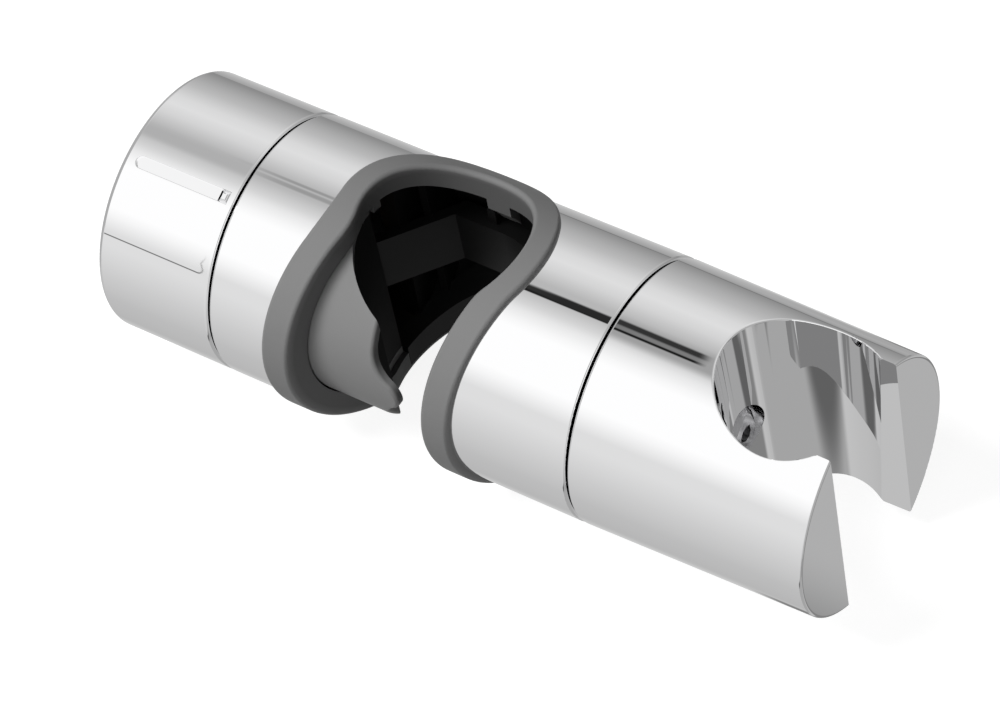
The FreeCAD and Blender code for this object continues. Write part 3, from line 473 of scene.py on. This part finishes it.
def fair_normals(mesh, rounds):
    """Smooth shading that is exact on the round surfaces and crisp at edges.

    A face on a round surface takes its corners' normals straight from the
    surface's axis, and every other face shares its corners with the
    neighbours that turn away from it by less than the smooth angle."""
    mesh.shade_smooth()
    places = [corner.co for corner in mesh.vertices]
    corner_faces = [[] for _ in mesh.vertices]
    turned, areas, round_of = [], [], []
    for face in mesh.polygons:
        for corner in face.vertices:
            corner_faces[corner].append(face.index)
        turned.append(face.normal.copy())
        areas.append(face.area)
        corners = [places[corner] for corner in face.vertices]
        round_of.append(next(
            (form for form in rounds if lies_on(form, corners, face.normal, face.area)), None,
        ))
    limit = math.cos(SMOOTH_ANGLE)
    normals = [None] * len(mesh.loops)
    for face in mesh.polygons:
        own = turned[face.index]
        sliver = areas[face.index] < SLIVER_AREA
        for loop in face.loop_indices:
            corner = mesh.loops[loop].vertex_index
            at = places[corner]
            if round_of[face.index]:
                surest = face.index
                if sliver:
                    surest = max(corner_faces[corner], key=lambda other: areas[other])
                normals[loop] = round_normal(round_of[face.index], at, turned[surest])
                continue
            total = Vector()
            for other in corner_faces[corner]:
                if not sliver and own.dot(turned[other]) <= limit:
                    continue
                if round_of[other]:
                    normal = round_normal(round_of[other], at, turned[other])
                    total += normal * areas[other] * ROUND_WEIGHT
                else:
                    total += turned[other] * areas[other]
            normals[loop] = total.normalized() if total.length else own
    mesh.normals_split_custom_set(normals)


def soften(shell, skin, width, span):
    """Rounds the sharp edges where the outer skin ends, between two places in X."""
    shell.normal_update()
    start, end = span

    def outer(face):
        corners = [corner.co for corner in face.verts]
        return lies_on(skin, corners, face.normal, face.calc_area())

    sharp = [
        edge for edge in shell.edges
        if len(edge.link_faces) == 2
        and outer(edge.link_faces[0]) != outer(edge.link_faces[1])
        and edge.calc_face_angle() > SMOOTH_ANGLE
        and all(start < corner.co.x < end for corner in edge.verts)
    ]
    corners = list(dict.fromkeys(corner for edge in sharp for corner in edge.verts))
    bmesh.ops.bevel(
        shell, geom=sharp + corners, offset=width, offset_type="OFFSET", segments=ROUND_STEPS,
        profile=0.5, affect="EDGES", clamp_overlap=False, material=-1,
    )


def stand(name, shell):
    """Makes an object at the origin from a finished shell."""
    mesh = bpy.data.meshes.new(name)
    shell.to_mesh(mesh)
    shell.free()
    piece = bpy.data.objects.new(name, mesh)
    bpy.context.scene.collection.objects.link(piece)
    return piece


def dress(mesh, material):
    """Gives a mesh one material and no other."""
    mesh.materials.clear()
    mesh.materials.append(material)


def fair_copy(name, slot, rounds=(), finish=None, width=0.0, span=None):
    """Stands a merged, smooth copy of a CAD node in the node's place; its
    finish is the slot's own if no other is given."""
    shell = bmesh.new()
    shell.from_mesh(NODES[name].data)
    bmesh.ops.remove_doubles(shell, verts=shell.verts, dist=MERGE_DISTANCE)
    if span:
        soften(shell, rounds[0], width, span)
    piece = stand(name + "_shell", shell)
    dress(piece.data, FINISHES[finish or slot])
    fair_normals(piece.data, rounds)
    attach(piece, BODY_OF[name])
    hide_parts(name)


# The outer pieces, each as a smooth shell in the place of its node

fair_copy(
    "sleeve", "chrome_shell",
    (
        SKIN, rounded_rim(-SLEEVE_END, -1, RIM_ROUND, SKIN),
        rounded_rim(SLEEVE_END, 1, RIM_ROUND, SKIN),
    ),
)
fair_copy(
    "clamp_knob", "chrome_shell",
    (
        SKIN, rounded_rim(KNOB_RIM, 1, RIM_ROUND, SKIN),
        rounded_rim(KNOB_END, -1, KNOB_END_ROUND, SKIN),
    ),
    width=CHANNEL_ROUND, span=CHANNEL_SPAN,
)
fair_copy(
    "handset_holder", "chrome_shell",
    (
        HOLDER_SKIN, SOCKET, rounded_rim(HOLDER_RIM, -1, RIM_ROUND, HOLDER_SKIN),
        rounded_rim(HOLDER_END, 1, HOLDER_END_ROUND, HOLDER_SKIN),
    ),
    width=MOUTH_ROUND, span=MOUTH_SPAN,
)
fair_copy("slot_trim", "grey_trim", (SKIN, barrel(TRIM_RADIUS)))
fair_copy("clamp_jaw", "grey_jaw", (barrel(JAW_RADIUS),))
fair_copy("jaw_seat", "black_moulding", finish="black_lining")
fair_copy("inner_frame", "black_moulding", (barrel(FRAME_RADIUS),))


# The index stud


def index_stud():
    """The small chrome stud, with a facet along each side of its top."""
    turn = Matrix.Rotation(INDEX_ANGLE, 4, "X")
    shell = bmesh.new()
    bmesh.ops.create_cube(
        shell, size=1.0,
        matrix=turn @ Matrix.Translation(STUD_PLACE) @ Matrix.Diagonal((*STUD_SIZE, 1)),
    )
    way_out = turn.to_3x3() @ UPRIGHT
    top = max(shell.faces, key=lambda face: face.normal.dot(way_out))
    bmesh.ops.bevel(
        shell, geom=[*top.edges, *top.verts], offset=STUD_FACET, offset_type="OFFSET",
        segments=1, profile=0.5, affect="EDGES", material=-1,
    )
    stud = stand("index_stud", shell)
    dress(stud.data, FINISHES["chrome_shell"])
    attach(stud, BODY_OF["clamp_knob"])


index_stud()


# The inner pieces, which keep their own meshes and get their real finish

INNER_FINISHES = {
    "black_moulding": ("knob_core",),
    "black_rubber": ("rail_pad", "o_ring"),
    "brass": ("clamp_screw", "pivot_nut"),
    "white_plastic": ("knob_washer", "friction_ring"),
    "steel": ("retaining_clip", "pivot_screw", "pivot_bush", "pivot_washer", "disc_spring"),
}

for finish, parts in INNER_FINISHES.items():
    for part in parts:
        dress(NODES[part].data, FINISHES[finish])


# Studio tent

# The cloth round the barrel: degrees from +Z towards -Y, and display levels.
TENT_LEVELS = (
    (-180, 181), (-148, 215), (-130, 190), (-110, 160), (-107, 138), (-97, 153),
    (-73, 185), (-55, 216), (-45, 222), (-34, 211), (-20, 182), (-10, 182), (2, 212),
    (8, 231), (17, 247), (23, 254), (59, 254), (66, 246), (80, 221), (92, 221),
    (122, 203), (150, 188), (180, 181),
)
TENT_RADIUS = 0.9
TENT_LENGTH = 2.4
TENT_SIDES = 128
# The level of the tent's two flat ends, and how far in from them it starts.
CAP_LEVEL = 170
CAP_DEPTH = 0.01

# Flags and scrims hung in the tent: from X, to X, the softness of those two
# ends, the angle, its half width and soft edge in degrees, and the level.
FLAGS = (
    # A wide scrim over the handset holder, and the three rods across it
    (-0.33, -0.10, 0.003, -9.0, 5.0, 8.0, 158),
    (-0.33, -0.2777, 0.003, -10.4, 2.0, 2.2, 122),
    (-0.33, -0.2777, 0.003, -13.7, 1.3, 2.0, 50),
    (-0.33, -0.2777, 0.003, -7.0, 0.45, 1.2, 26),
    # The dark rods over the right half of the sleeve
    (-0.42, -0.33, 0.030, -11.6, 1.4, 2.6, 50),
    (-0.42, -0.33, 0.020, -9.3, 0.5, 1.0, 26),
    (-0.378, -0.33, 0.012, -12.0, 1.9, 2.2, 40),
    # The grey rods over its left half
    (-0.502, -0.43, 0.020, -18.4, 0.4, 1.6, 150),
    (-0.502, -0.43, 0.020, -13.8, 0.8, 2.0, 152),
    # The scrim over the knob
    (-0.70, -0.503, 0.002, -13.0, 2.0, 7.0, 174),
    # The scrims round the end of the holder
    (-0.262, 1.30, 0.008, -151.0, 18.5, 4.0, 127),
    (0.30, 0.46, 0.020, -148.5, 2.5, 2.5, 173),
    (-0.30, -0.10, 0.030, -124.0, 4.0, 6.0, 164),
    (-0.17, 1.30, 0.040, 158.0, 18.0, 8.0, 163),
    (0.875, 1.30, 0.015, 166.0, 8.0, 3.0, 125),
    (0.79, 0.875, 0.015, 160.5, 2.6, 1.6, 128),
    (-0.17, 0.40, 0.040, 138.0, 1.5, 3.0, 95),
    # The seam in the cloth behind the barrel
    (-0.42, -0.24, 0.010, -107.4, 0.2, 0.8, 112),
    (-0.70, -0.43, 0.010, -108.8, 0.2, 0.8, 128),
)

# The hem of the tent's door by the knob: the X and the angle of its corner,
# and how many millimetres a metre and a degree of it make on the knob.
HEM_X = -0.5070
HEM_ANGLE = 83.3
MM_PER_X = 400.0
MM_PER_DEGREE = 1 / 5.6
# In those millimetres, the corner's radius, half the line's width without and
# with its blur, and where the part that goes up starts to fade and is gone.
HEM_CORNER = 0.8
HEM_CORE = 0.045
HEM_BLUR = 0.144
HEM_WHOLE = 0.9
HEM_GONE = 3.4
HEM_LEVEL = 112


def studio_piece(name, shell, material):
    """A piece of the studio, which is no part of the object."""
    piece = stand(name, shell)
    dress(piece.data, material)
    return piece


def glow(name):
    """An emission material and its tree, with its shader node."""
    material = bpy.data.materials.new(name)
    material.use_nodes = True
    tree = material.node_tree
    tree.nodes.clear()
    shine = tree.nodes.new("ShaderNodeEmission")
    end = tree.nodes.new("ShaderNodeOutputMaterial")
    tree.links.new(shine.outputs[0], end.inputs["Surface"])
    return material, tree, shine


def hem_line(tree, axes, turn):
    """1 on the hem: a line along the knob that turns up beside its groove."""
    beside = maths(tree, "MULTIPLY_ADD", axes["X"], MM_PER_X, HEM_CORNER - HEM_X * MM_PER_X)
    above = maths(tree, "MULTIPLY_ADD", turn, -MM_PER_DEGREE, HEM_ANGLE * MM_PER_DEGREE)
    below = maths(tree, "SUBTRACT", HEM_CORNER, above)
    outside = distance(
        tree, maths(tree, "MAXIMUM", beside, 0.0), maths(tree, "MAXIMUM", below, 0.0),
    )
    inside = maths(tree, "MINIMUM", maths(tree, "MAXIMUM", beside, below), 0.0)
    edge = maths(tree, "SUBTRACT", maths(tree, "ADD", outside, inside), HEM_CORNER)
    line = mapped(tree, maths(tree, "ABSOLUTE", edge), HEM_BLUR, HEM_CORE)
    return maths(tree, "MULTIPLY", line, mapped(tree, above, HEM_GONE, HEM_WHOLE))


def tent_cloth():
    """The tent's glowing cloth with its flags, its hem and its two ends."""
    material, tree, shine = glow("tent_cloth")
    axes = axes_on(tree)
    turn = maths(tree, "ARCTAN2", maths(tree, "MULTIPLY", axes["Y"], -1.0), axes["Z"])
    turn = maths(tree, "MULTIPLY", turn, 180 / math.pi)
    cloth = ramp(
        tree, mapped(tree, turn, -180.0, 180.0, smooth=False),
        [((angle + 180) / 360, level) for angle, level in TENT_LEVELS],
    )
    for start, end, fade, angle, half, soft, level in FLAGS:
        away = maths(tree, "ABSOLUTE", maths(tree, "SUBTRACT", turn, angle))
        mask = mapped(tree, away, half + soft, half)
        for edge, way in ((start, fade), (end, -fade)):
            within = mapped(tree, axes["X"], edge - way, edge + way)
            mask = maths(tree, "MULTIPLY", mask, within)
        cloth = mixed(tree, cloth, grey(level), mask)
    cloth = mixed(tree, cloth, grey(HEM_LEVEL), hem_line(tree, axes, turn))
    at_end = maths(
        tree, "GREATER_THAN", maths(tree, "ABSOLUTE", axes["X"]), TENT_LENGTH / 2 - CAP_DEPTH,
    )
    cloth = mixed(tree, cloth, grey(CAP_LEVEL), at_end)
    tree.links.new(cloth, shine.inputs["Color"])
    # The cloth makes up for what the chrome takes.
    shine.inputs["Strength"].default_value = 1 / CHROME_SHARE
    return material


def studio_tent():
    """A long tent about the barrel's axis, which only reflections show."""
    shell = bmesh.new()
    bmesh.ops.create_cone(
        shell, cap_ends=True, cap_tris=False, segments=TENT_SIDES,
        radius1=TENT_RADIUS, radius2=TENT_RADIUS, depth=TENT_LENGTH,
        matrix=Matrix.Rotation(math.pi / 2, 4, "Y"),
    )
    tent = studio_piece("studio_tent", shell, tent_cloth())
    tent.visible_camera = False
    tent.visible_diffuse = False
    tent.visible_transmission = False
    tent.visible_volume_scatter = False
    tent.visible_shadow = False


studio_tent()


# Floor, air and lights

FLOOR_SIZE = 6.0
# The floor's own grey, which takes the shadow, and its glow up to white.
FLOOR_GREY = (0.3, 0.3, 0.3, 1)
FLOOR_GLOW = 0.88
FLOOR_GAP = 0.0002
# How strong the air is where it isn't seen.
AIR_LIGHT = 0.07
WHITE = (1, 1, 1, 1)


def studio_floor():
    """The floor: white to the camera, with the object's soft shadow."""
    material, tree, shader = surface("pale_floor")
    shader.inputs["Base Color"].default_value = FLOOR_GREY
    shader.inputs["Roughness"].default_value = 0.8
    shader.inputs["Emission Color"].default_value = WHITE
    tree.links.new(
        maths(tree, "MULTIPLY", seen(tree), FLOOR_GLOW), shader.inputs["Emission Strength"],
    )
    shell = bmesh.new()
    bmesh.ops.create_grid(
        shell, x_segments=1, y_segments=1, size=FLOOR_SIZE,
        matrix=Matrix.Translation((0, 0, CAD_BOX[0].z - FLOOR_GAP)),
    )
    floor = studio_piece("studio_floor", shell, material)
    floor.visible_glossy = False


def studio_air():
    """White air round the studio, which gives little light of its own."""
    world = bpy.data.worlds.new("studio_air")
    bpy.context.scene.world = world
    world.use_nodes = True
    tree = world.node_tree
    air = tree.nodes["Background"]
    air.inputs["Color"].default_value = WHITE
    strength = mapped(tree, seen(tree), to_low=AIR_LIGHT, smooth=False)
    tree.links.new(strength, air.inputs["Strength"])


def soft_light(name, place, size, power):
    """A round soft light that faces the origin and isn't seen itself."""
    lamp = bpy.data.lights.new(name, "AREA")
    lamp.shape = "DISK"
    lamp.size = size
    lamp.energy = power
    light = bpy.data.objects.new(name, lamp)
    light.location = place
    light.rotation_euler = Vector(place).to_track_quat("Z", "Y").to_euler()
    light.visible_camera = False
    light.visible_glossy = False
    bpy.context.scene.collection.objects.link(light)


studio_floor()
studio_air()
soft_light("key_light", place=(-0.32, -0.32, 0.78), size=0.35, power=6.8)
soft_light("fill_light", place=(0.10, -0.70, 0.38), size=0.4, power=1.3)


# Camera

CAMERA_PLACE = (0.27787, -0.30357, 0.51131)
CAMERA_RIGHT = (0.8396, 0.5269, -0.1323)
CAMERA_UP = (-0.3533, 0.7145, 0.6038)
CAMERA_BACK = (0.4127, -0.4602, 0.7860)
FOCAL_LENGTH = 161.43
SENSOR_WIDTH = 36.0
NEAREST = 0.01

lens = bpy.data.cameras.new("camera")
lens.lens = FOCAL_LENGTH
lens.sensor_width = SENSOR_WIDTH
lens.clip_start = NEAREST
camera = bpy.data.objects.new("camera", lens)
ways = Matrix((CAMERA_RIGHT, CAMERA_UP, CAMERA_BACK)).transposed()
camera.matrix_world = Matrix.Translation(CAMERA_PLACE) @ ways.to_4x4()
bpy.context.scene.collection.objects.link(camera)
bpy.context.scene.camera = camera
bpy.context.scene.view_settings.view_transform = "Standard"
